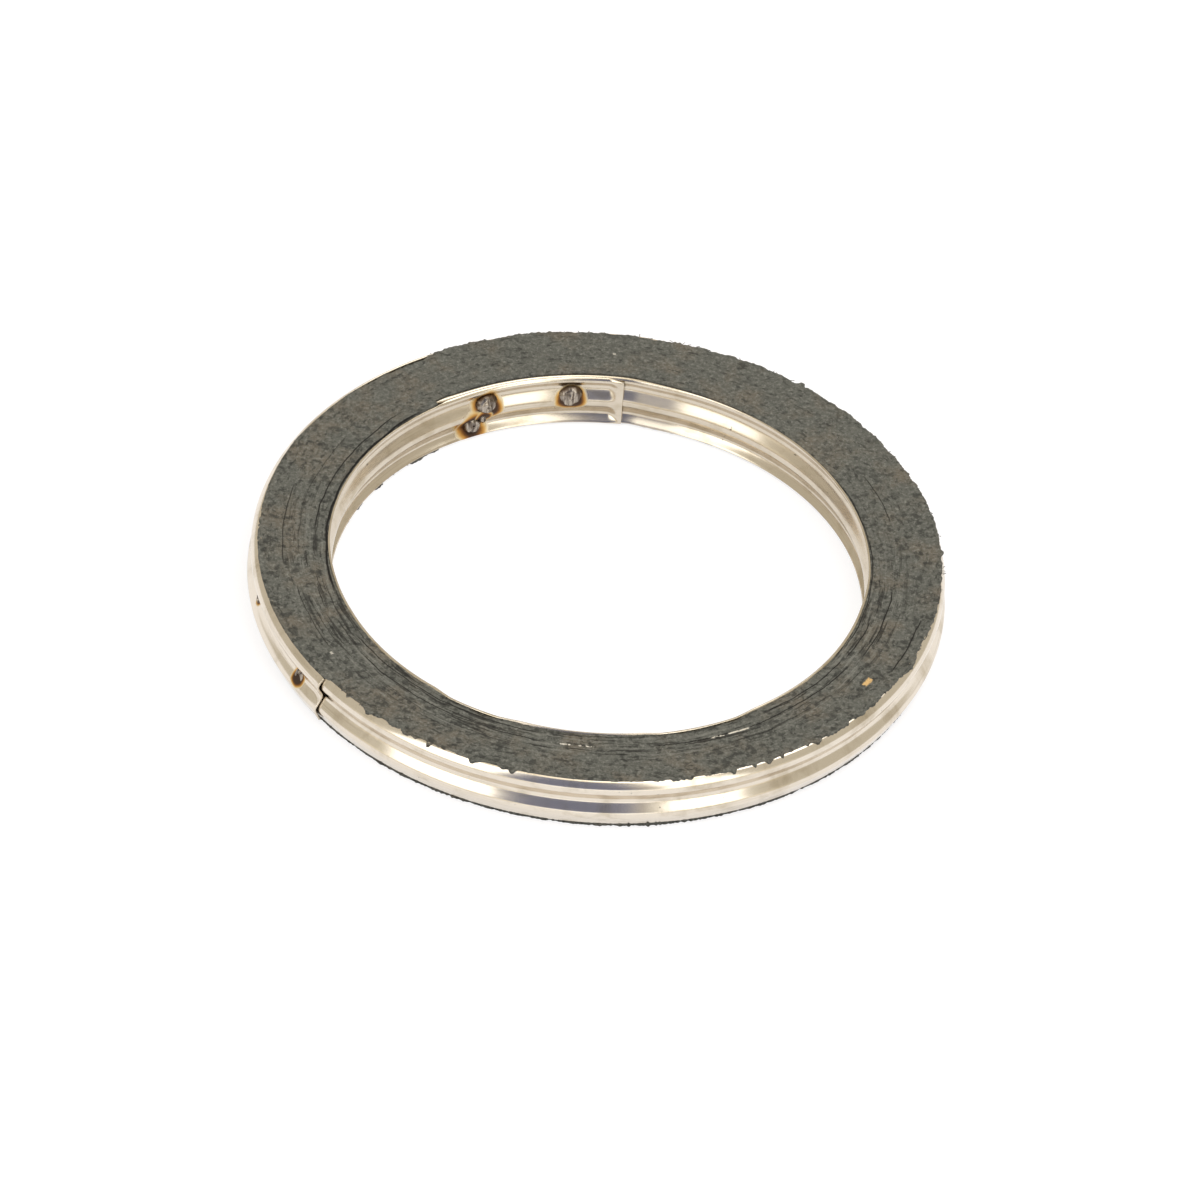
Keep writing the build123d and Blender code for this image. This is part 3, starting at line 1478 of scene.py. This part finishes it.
    def build(self, finish: bpy.types.Material, lip: np.ndarray) -> bpy.types.Object:
        """Make the ring mesh: its face, its outer wall, its underside and its bore wall.

        Args:
            finish: The filler's material.
            lip: How far the steel's lip is flared at each station, from 0 to 1.

        Returns:
            The filler's object.
        """
        rng = np.random.default_rng(self.seed)
        wound = self.winding
        angle = self.stations()
        inner = self.inner_edge(angle)
        lapped = between(angle, wound.strip_start, wound.filler_start)
        outer = wound.last_turn + wound.lap_rise * lapped
        lip_edge = inner + lip * self.lip_rise + self.seam
        edge = lip_edge + self.worn_edge(rng, angle)
        rim = self.rim(rng, angle)
        face = self.face(rng, edge, rim)
        under = self.underside(rng, angle, inner, outer)
        under_rim, under_edge = under[0][:, 0], under[0][:, -1]
        hidden, room = outer - 0.03, inner + self.crest_room
        low, high = self.strip_bottom, self.strip_top
        outer_wall = level_rows((rim - 0.01, high + 0.04), (hidden, high - 0.08),
                                (hidden, self.top / 2), (hidden, low + 0.2),
                                (under_rim - 0.02, low + 0.1))
        bore_wall = level_rows((under_edge, low - 0.1), (inner + 0.06, low - 0.05),
                               (room, low + 0.4), (room, high - (high - low) / 4),
                               (lip_edge, high))
        radii, heights = (np.hstack(part) for part in zip(face, outer_wall, under, bore_wall))
        points = polar(radii, angle[:, None], heights)
        mesh = grid_mesh("filler_winding", points[::-1], (True, True))
        mesh.materials.append(finish)
        return new_object("filler_winding", mesh)


@dataclass(frozen=True)
class Fibres:
    """Loose fibres that stand out from the filler's torn upper edge."""

    height: float
    path: Knots = (
        (0, 30.8), (122, 30.8), (126, 30.45), (150, 30.6), (200, 30.6), (222, 30.4),
        (264, 30.15), (281, 30.15), (306, 30.2), (346, 30.4),
    )
    fuzz: Knots = (
        (0, 0.2), (130, 0.12), (150, 0.05), (215, 0.05), (226, 0.6), (262, 0.6), (268, 1.5),
        (282, 1.5), (286, 0.5), (345, 0.5),
    )
    band_sides: Span = (-0.08, 0.04)
    bend: Span = (0.5, 0.22)
    turns: tuple[Point, Point] = ((-0.35, -0.15, 0.0), (0.35, 0.12, 2 * math.pi))
    sizes: Span = (0.35, 1.25)
    density: float = 90000000.0
    length: float = 0.34
    thickness: float = 0.03
    seed: int = 5
    stations: int = 720

    def band(self) -> bpy.types.Mesh:
        """Make the narrow band that the fibres grow from, marked with how many there are.

        Returns:
            The band's mesh.
        """
        angle = np.linspace(0, FULL_TURN, self.stations, endpoint=False)
        rows = round_ring(angle, self.path)[:, None] + np.array(self.band_sides)
        mesh = grid_mesh("fibres", polar(rows, angle[:, None], self.height), (True, False))
        mark_points(mesh, "fuzz", np.repeat(round_ring(angle, self.fuzz), 2))
        return mesh

    def tree(self) -> bpy.types.NodeTree:
        """Build the tree that scatters fibres over a band.

        Returns:
            The Geometry Nodes tree.
        """
        graph = Graph.group(
            "fibre_scatter",
            "GeometryNodeTree",
            {"Band": "Geometry", "Density": "Float", "Length": "Float", "Thickness": "Float",
             "Seed": "Int", "Finish": "Material"},
            {"Fibres": "Geometry"},
        )
        band, density, length, thickness, seed, finish = graph.taken(
            "Band", "Density", "Length", "Thickness", "Seed", "Finish"
        )
        fuzz = graph.add("GeometryNodeInputNamedAttribute", {"data_type": "FLOAT"}, Name="fuzz")
        points = graph.add("GeometryNodeDistributePointsOnFaces", Mesh=band,
                           Density=graph.number(fuzz.outputs[0]) * density, Seed=seed)
        along, up = self.bend
        bend = graph.add("ShaderNodeCombineXYZ", X=length * along, Z=length * up)
        tip = graph.add("ShaderNodeCombineXYZ", X=length)
        line = graph.add("GeometryNodeCurveQuadraticBezier", Resolution=3,
                         Start=(0.0, 0.0, 0.0), Middle=bend.outputs[0], End=tip.outputs[0])
        ring = graph.add("GeometryNodeCurvePrimitiveCircle", Resolution=4)
        graph.feed(ring.inputs["Radius"], thickness)
        fibre = graph.add("GeometryNodeCurveToMesh", Curve=line.outputs[0],
                          Profile_Curve=ring.outputs[0], Fill_Caps=True)
        turn = graph.add("FunctionNodeRandomValue", {"data_type": "FLOAT_VECTOR"}, Seed=seed)
        size = graph.add("FunctionNodeRandomValue", {"data_type": "FLOAT"}, Seed=seed)
        for socket, value in zip((*turn.inputs[:2], *size.inputs[2:4]), (*self.turns, *self.sizes)):
            graph.feed(socket, value)
        scattered = graph.add("GeometryNodeInstanceOnPoints", Points=points.outputs[0],
                              Instance=fibre.outputs[0], Rotation=turn.outputs[0],
                              Scale=size.outputs[1])
        whole = graph.add("GeometryNodeRealizeInstances", Geometry=scattered.outputs[0])
        finished = graph.add("GeometryNodeSetMaterial", Geometry=whole.outputs[0], Material=finish)
        graph.give(finished.outputs[0])
        return graph.tree

    def build(self, finish: bpy.types.Material) -> bpy.types.Object:
        """Scatter the fibres.

        Args:
            finish: The fibres' material.

        Returns:
            The fibres' object.
        """
        fibres = new_object("fibres", self.band())
        scatter = fibres.modifiers.new("scatter", "NODES")
        scatter.node_group = self.tree()
        set_inputs(
            scatter,
            {"Density": self.density, "Length": self.length * MM,
             "Thickness": self.thickness * MM, "Seed": self.seed, "Finish": finish},
        )
        return bake(fibres)


# --------------------------------------------------------------------------- studio


@dataclass(frozen=True)
class Pane:
    """A window with soft edges in the room, by bearing and lift in degrees."""

    bearing: Span
    lift: Span
    softness: Span
    strength: float

    def mask(self, bearing: Formula, lift: Formula) -> Formula:
        """Give 1 in the pane and 0 outside it, for a direction's bearing and lift."""
        sideways, upright = self.softness
        return bearing.window(*self.bearing, sideways) * lift.window(*self.lift, upright)


@dataclass(frozen=True)
class Studio:
    """A white floor, a soft light from above and the room that the steel mirrors."""

    floor_size: float = 4.0
    floor_tone: Tone = (0.34, 0.335, 0.35)
    floor_glow: float = 0.74
    lamp_power: float = 9.0
    lamp_size: float = 1.2
    lamp_place: Point = (0.65, 0.2, 1.6)
    left_box: Pane = Pane((-59.0, -26.0), (11.0, 70.0), (1.0, 1.5), 1.8)
    right_box: Pane = Pane((25.5, 49.5), (11.0, 70.0), (1.0, 1.5), 1.8)
    dark: Pane = Pane((-22.0, 17.0), (11.0, 64.0), (5.0, 2.0), 0.62)
    bridge: Pane = Pane((-28.0, 12.0), (66.0, 74.0), (3.0, 2.0), 0.5)
    glow: Pane = Pane((-16.0, 26.0), (1.5, 11.0), (8.0, 1.5), 0.55)
    skirt: Pane = Pane((-70.0, 62.0), (1.5, 11.0), (8.0, 1.5), 0.4)
    overhead: Fade = Fade(72.0, 82.0, 0.9)
    room_light: float = 0.67
    room_tone: Tone = (1.0, 0.925, 0.775)
    box_tone: Tone = (1.0, 0.99, 0.96)
    dark_tone: Tone = (0.84, 0.90, 1.28)
    white: Tone = (1.0, 1.0, 1.0)

    def world(self) -> None:
        """Build the room: pale all round, two soft boxes and the dark side between them."""
        world = bpy.data.worlds.new("studio")
        bpy.context.scene.world = world
        world.use_nodes = True
        world.node_tree.nodes.clear()
        graph = Graph(world.node_tree)
        x, y, z = graph.parts(graph.add("ShaderNodeTexCoord").outputs["Generated"])
        bearing = x.call("ARCTAN2", y * -1.0) * math.degrees(1)
        lift = z.call("ARCSINE") * math.degrees(1)
        left, right, dark, bridge, glow, skirt = (
            pane.mask(bearing, lift)
            for pane in (
                self.left_box, self.right_box, self.dark, self.bridge, self.glow, self.skirt
            )
        )
        light = (self.overhead.mask(lift) + self.room_light + left * self.left_box.strength
                 + right * self.right_box.strength + bridge * self.bridge.strength
                 + glow * self.glow.strength + skirt * self.skirt.strength)
        light = light * (1.0 - dark * self.dark.strength)
        tone = graph.mix(most([left, right, glow]), self.room_tone, self.box_tone)
        tone = graph.mix(dark, tone, self.dark_tone)
        room = graph.add("ShaderNodeBackground", Color=tone, Strength=light)
        plain = graph.add("ShaderNodeBackground", Color=self.white, Strength=1.0)
        seen = graph.add("ShaderNodeLightPath").outputs["Is Camera Ray"]
        blend = graph.add("ShaderNodeMixShader", Fac=seen)
        graph.feed(blend.inputs[1], room.outputs[0])
        graph.feed(blend.inputs[2], plain.outputs[0])
        output = graph.add("ShaderNodeOutputWorld", Surface=blend.outputs[0])
        output.is_active_output = True

    def floor(self) -> None:
        """Lay the white floor, which keeps the gasket's soft shadow."""
        half = self.floor_size / 2
        mesh = bpy.data.meshes.new("floor")
        corners = [(-half, -half, 0), (half, -half, 0), (half, half, 0), (-half, half, 0)]
        mesh.from_pydata(corners, [], [(0, 1, 2, 3)])
        floor = new_object("floor", mesh)
        material = bpy.data.materials.new("white_floor")
        material.use_nodes = True
        material.node_tree.nodes.clear()
        graph = Graph(material.node_tree)
        matt = graph.add("ShaderNodeBsdfDiffuse", Color=self.floor_tone)
        path = graph.add("ShaderNodeLightPath")
        camera, glossy, through = (
            graph.number(path.outputs[f"Is {ray} Ray"])
            for ray in ("Camera", "Glossy", "Transmission")
        )
        glow = graph.add("ShaderNodeEmission", Color=self.white,
                         Strength=(camera + glossy + through) * self.floor_glow)
        both = graph.add("ShaderNodeAddShader")
        graph.feed(both.inputs[0], matt.outputs[0])
        graph.feed(both.inputs[1], glow.outputs[0])
        graph.add("ShaderNodeOutputMaterial", Surface=both.outputs[0])
        mesh.materials.append(material)

    def lamp(self) -> None:
        """Hang one large soft lamp above the right side, aimed at the gasket."""
        light = bpy.data.lights.new("soft_lamp", "AREA")
        light.energy = self.lamp_power
        light.size = self.lamp_size
        lamp = new_object("soft_lamp", light)
        lamp.location = self.lamp_place
        aim = -lamp.location.normalized()
        lamp.rotation_euler = aim.to_track_quat("-Z", "Y").to_euler()


@dataclass(frozen=True)
class LongLensCamera:
    """The camera: far off, with a long lens, looking down on the ring."""

    elevation: float = 41.1
    roll: float = -4.94
    distance: float = 1.3435
    focal_length: float = 450.0
    sensor: float = 36.0
    aim: Span = (0.00034, -0.00625)

    def build(self, level: float) -> None:
        """Set up the camera.

        Args:
            level: The height of the plane that it aims at, in metres.
        """
        data = bpy.data.cameras.new("camera")
        data.lens = self.focal_length
        data.sensor_width = self.sensor
        camera = new_object("camera", data)
        lift = math.radians(self.elevation)
        back = np.array([0.0, -math.cos(lift), math.sin(lift)])
        place = np.array([*self.aim, level]) + back * self.distance
        tilt = Matrix.Rotation(math.pi / 2 - lift, 4, "X")
        roll = Matrix.Rotation(math.radians(-self.roll), 4, "Z")
        camera.matrix_world = Matrix.Translation(place.tolist()) @ tilt @ roll
        bpy.context.scene.camera = camera


# --------------------------------------------------------------------------- gasket


# Cracks where the filler's layers have parted, painted black as shade.
CRACK_SHADES = (
    RingLine(24.68, 133.0, 201.0, 0.20, 1.0),
    RingLine(25.7, 138.0, 181.0, 0.12),
    RingLine(28.6, 168.0, 190.0, 0.10, 0.8),
    RingLine(27.2, 150.0, 176.0, 0.08, 0.6),
    RingLine(25.1, 212.0, 262.0, 0.12),
    RingLine(26.1, 218.0, 263.0, 0.11),
    RingLine(27.1, 226.0, 255.0, 0.08, 0.6),
    RingLine(25.95, 283.0, 333.0, 0.12),
    RingLine(25.1, 309.0, 333.0, 0.11),
    RingLine(24.7, 262.0, 300.0, 0.08, 0.7),
    RingLine(26.5, 335.0, 357.0, 0.12),
    RingLine(29.6, 335.0, 350.0, 0.12),
    RingLine(25.3, 334.0, 346.0, 0.12),
    RingLine(27.0, 17.0, 31.0, 0.09, 0.8),
    RingLine(24.5, -25.0, 41.0, 0.10),
    RingLine(28.0, 196.0, 214.0, 0.09, 0.7),
)
FLECK = RingLine(28.45, 329.0, 331.4, 0.5)
# Steel edges that show through the filler, and two small specks, painted pale as glints.
PAINTED_GLINTS = (
    RingLine(26.0, 264.5, 267.5, 0.16),
    RingLine(26.0, 269.0, 272.5, 0.18),
    RingLine(26.0, 295.5, 304.0, 0.18),
    RingLine(28.3, 215.2, 215.9, 0.26, 0.6),
    RingLine(28.0, 90.3, 90.9, 0.24, 0.45),
)
LIP_RISE = 0.75
FIBRE_SINK = 0.05


def ride_and_report(piece: bpy.types.Object, slot: Slot, *replaced: str) -> None:
    """Tie a finished piece to the gasket's body and log it.

    Args:
        piece: The finished piece.
        slot: The material slot that it takes its finish from; it is not used.
        replaced: The CAD nodes that it stands for.
    """
    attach(piece, "root")
    if replaced:
        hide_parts(*replaced)
    LOG.info("%s: %d faces", piece.name, len(piece.data.polygons))


def build_gasket(strip_bottom: float, strip_top: float, bottom: float, top: float) -> None:
    """Build the hoop strip, its welds, the filler and the fibres.

    Args:
        strip_bottom: The height of the hoop's lower edge.
        strip_top: The height of its upper edge.
        bottom: The height of the filler's lower face.
        top: The height of its upper face.
    """
    winding = Winding()
    welds = spot_welds(winding)
    steel = RolledSteel().material([weld.heat() for weld in welds])
    graphite = GraphiteFelt(CRACK_SHADES, PAINTED_GLINTS, FLECK).material()
    weld_metal = WeldMetal().material()

    strip = pressed_strip(winding, strip_bottom, strip_top, LIP_RISE)
    ride_and_report(strip.build(steel), Slot.STEEL, "hoop_strip")
    for weld in welds:
        ride_and_report(weld.build(weld_metal), Slot.STEEL)
    filler = FillerStrip(winding, bottom, top, strip_bottom, strip_top, LIP_RISE)
    ring = filler.build(graphite, strip.lip_share(filler.stations()))
    ride_and_report(ring, Slot.GRAPHITE, "filler_strip")
    ride_and_report(Fibres(top - FIBRE_SINK).build(graphite), Slot.GRAPHITE)


def main() -> None:
    """Build the shader groups, the gasket's pieces in order, then the studio."""
    logging.basicConfig(level=logging.INFO, format="%(name)s %(message)s")
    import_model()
    hoop_low, hoop_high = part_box("hoop_strip")
    filler_low, filler_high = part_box("filler_strip")
    for build_group in (
        build_ring_grain, build_speckle, build_heat_tint, build_ring_place, build_ring_line
    ):
        build_group()
    build_gasket(hoop_low.z / MM, hoop_high.z / MM, filler_low.z / MM, filler_high.z / MM)

    studio = Studio()
    studio.world()
    studio.floor()
    studio.lamp()
    LongLensCamera().build(filler_high.z)
    bpy.context.scene.view_settings.view_transform = "Standard"


if __name__ == "__main__":
    main()
